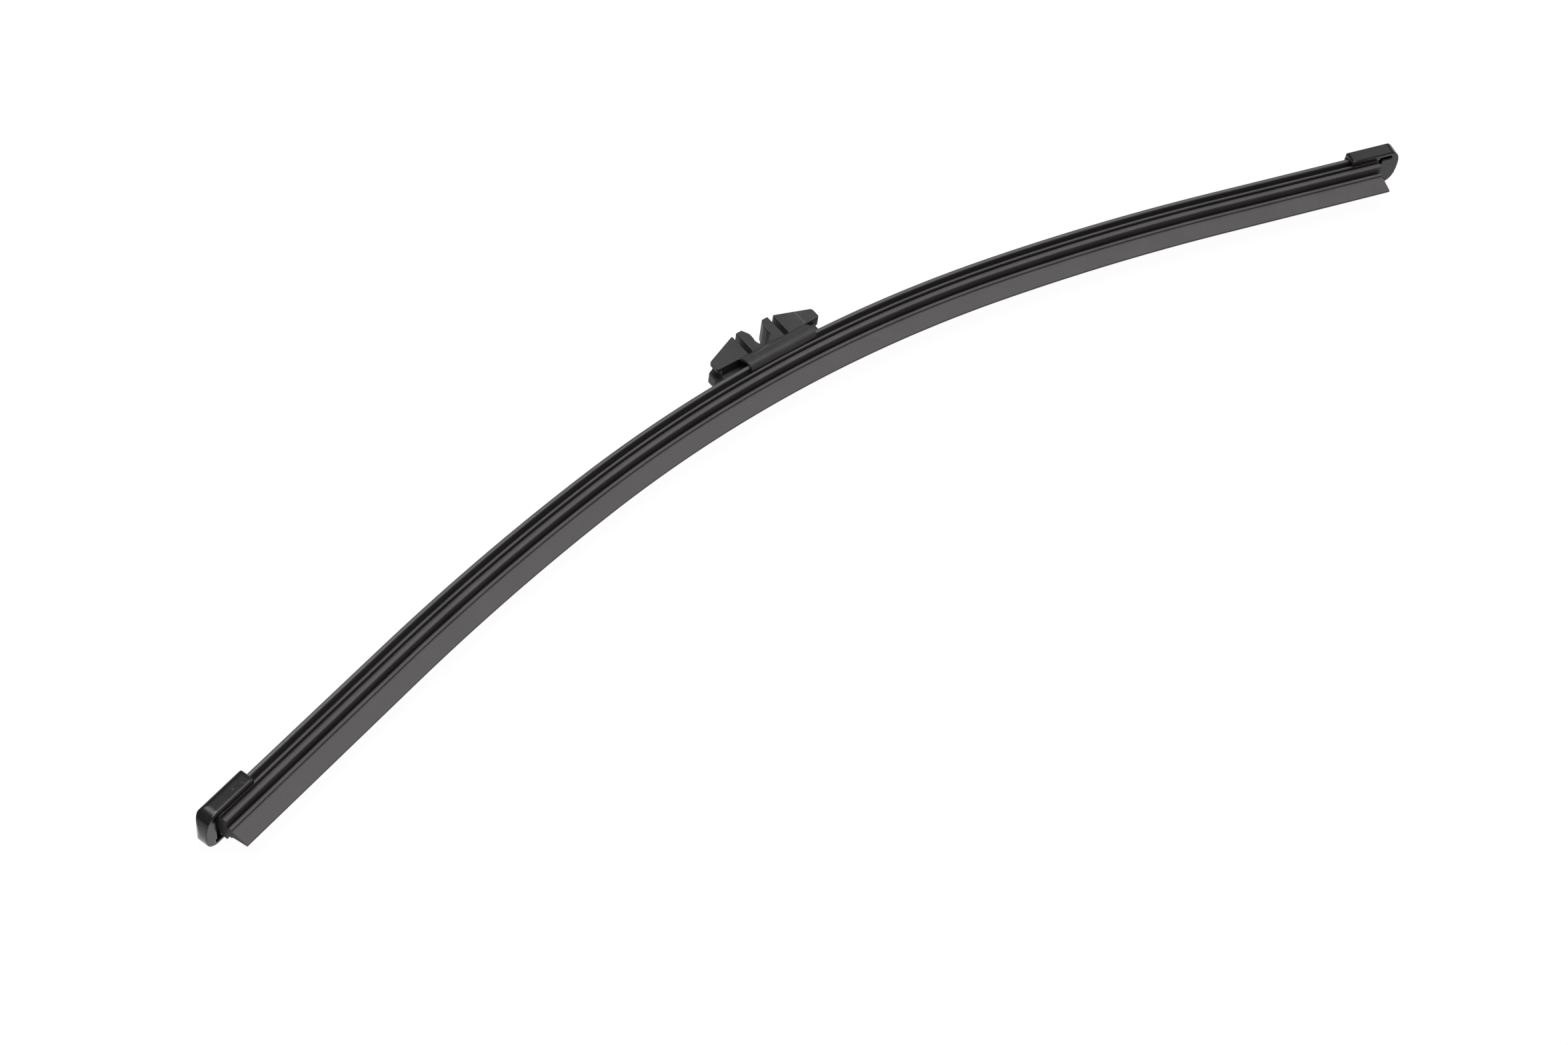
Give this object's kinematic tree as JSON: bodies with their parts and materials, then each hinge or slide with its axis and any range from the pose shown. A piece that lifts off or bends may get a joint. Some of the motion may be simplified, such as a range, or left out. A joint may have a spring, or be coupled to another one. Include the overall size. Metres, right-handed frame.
{
  "type": "wiper blade",
  "caption": "Arched flat wiper blade: rubber strip with wiping lip held by two spring rails, clip-on arm connector with an open pin seat, and moulded end caps.",
  "frame": {"origin": "centre of the arm connector's pin seat, midway across the blade", "axes": "+X along the blade, +Y away from the glass, +Z across the blade along the pin; the blade lies on its side"},
  "size_m": [0.389, 0.0578, 0.0126],
  "materials": {
    "rubber_element": "matt",
    "spring_rail": "gloss black",
    "connector": "matt",
    "end_cap": "satin"
  },
  "bodies": {
    "root": {"rubber_element": "rubber_element", "rail_lower": "spring_rail", "rail_upper": "spring_rail", "arm_connector": "connector", "end_cap_left": "end_cap", "end_cap_right": "end_cap"}
  },
  "joints": []
}
